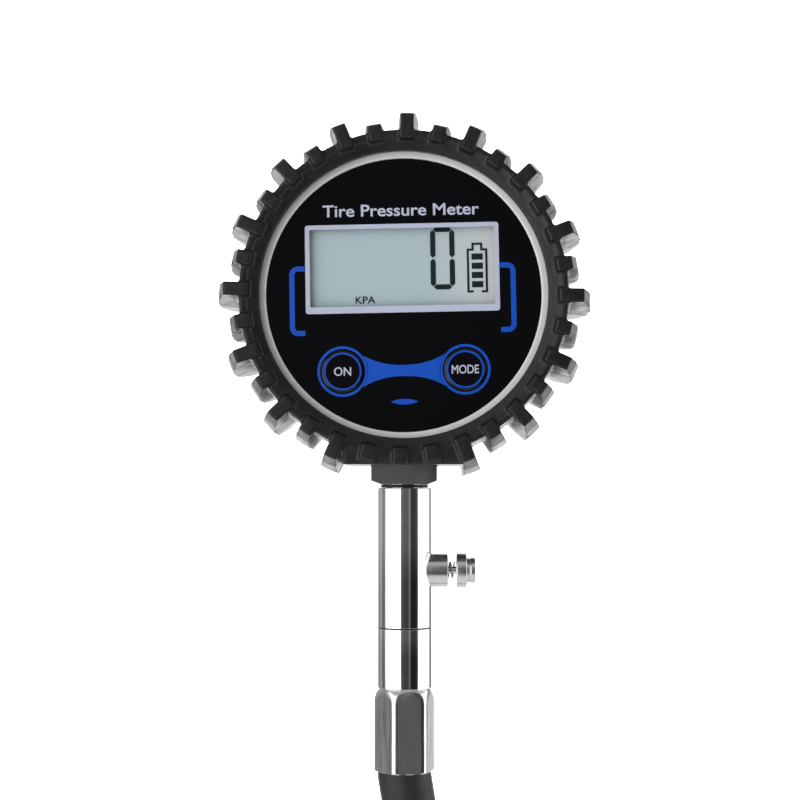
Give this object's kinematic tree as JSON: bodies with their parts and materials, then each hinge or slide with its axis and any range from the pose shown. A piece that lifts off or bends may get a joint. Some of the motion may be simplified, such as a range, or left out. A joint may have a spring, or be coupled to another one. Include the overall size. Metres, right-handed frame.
{
  "type": "tire pressure gauge",
  "caption": "Digital tire pressure gauge with a lugged rubber boot, round dial with display and push buttons, chrome stem with air release, swivel, rubber hose and push-on chuck",
  "frame": {"origin": "centre of the boot's flat back face, on the round head's axis", "axes": "+Z out of the dial, +Y towards twelve o'clock, stem and hose towards -Y, +X to the right when the dial is read"},
  "size_m": [0.1576, 0.2865, 0.034],
  "materials": {
    "boot_rubber": "matte",
    "case_plastic": "matte",
    "bezel_silver": "satin",
    "face_gloss": "gloss",
    "window_clear": "gloss",
    "lcd_grey": "satin",
    "backlight_white": "satin",
    "zebra_rubber": "matte",
    "board_green": "satin",
    "chip_black": "matte",
    "switch_metal": "satin",
    "seal_rubber": "matte",
    "cell_metal": "satin",
    "screw_steel": "satin",
    "neck_plastic": "matte",
    "stem_chrome": "polished",
    "brass_fitting": "satin",
    "spring_steel": "satin",
    "ferrule_satin": "satin",
    "hose_rubber": "matte",
    "ink_lavender": "matte",
    "ink_blue": "matte",
    "ink_segment": "matte"
  },
  "bodies": {
    "gauge": {"rubber_boot": "boot_rubber", "front_case": "case_plastic", "rear_case": "case_plastic", "bezel_ring": "bezel_silver", "face_overlay": "face_gloss", "lcd_window": "window_clear", "lcd_glass": "lcd_grey", "backlight_panel": "backlight_white", "zebra_connector": "zebra_rubber", "circuit_board": "board_green", "controller_chip": "chip_black", "tact_switches": "switch_metal", "pressure_sensor": "switch_metal", "sensor_port": "brass_fitting", "port_oring": "seal_rubber", "battery_cells": "cell_metal", "battery_contacts": "spring_steel", "battery_door": "case_plastic", "door_screw": "screw_steel", "case_screws": "screw_steel", "neck_collar": "neck_plastic", "stem_nut": "screw_steel", "stem_gasket": "seal_rubber", "stem_body": "stem_chrome", "bleed_guide": "brass_fitting", "bleed_spring": "spring_steel", "swivel_post": "screw_steel", "swivel_oring": "seal_rubber", "swivel_clip": "spring_steel"},
    "on_button": {"button_on": "face_gloss"},
    "mode_button": {"button_mode": "face_gloss"},
    "bleed_button": {"bleed_pin": "stem_chrome", "bleed_cap": "stem_chrome", "bleed_seal": "seal_rubber"},
    "hose_end": {"swivel_sleeve": "stem_chrome", "hose_barb": "brass_fitting", "hex_ferrule": "ferrule_satin", "hose": "hose_rubber", "chuck_ferrule": "ferrule_satin", "chuck_barb": "brass_fitting", "chuck_body": "brass_fitting", "chuck_barrel": "brass_fitting", "chuck_seal": "seal_rubber", "chuck_pin": "spring_steel"}
  },
  "joints": [
    {"name": "on_press", "type": "slide", "parent": "gauge", "child": "on_button", "axis": [0, 0, -1], "range_m": [0, 0.0004], "stiffness_N_per_m": 1000},
    {"name": "mode_press", "type": "slide", "parent": "gauge", "child": "mode_button", "axis": [0, 0, -1], "range_m": [0, 0.0004], "stiffness_N_per_m": 1000},
    {"name": "bleed_press", "type": "slide", "parent": "gauge", "child": "bleed_button", "axis": [-1, 0, 0], "range_m": [0, 0.0015], "stiffness_N_per_m": 1500, "deforming": ["bleed_spring"]},
    {"name": "swivel_turn", "type": "hinge", "parent": "gauge", "child": "hose_end", "pos_m": [0, -0.0745, 0.017], "axis": [0, 1, 0], "continuous": true}
  ]
}
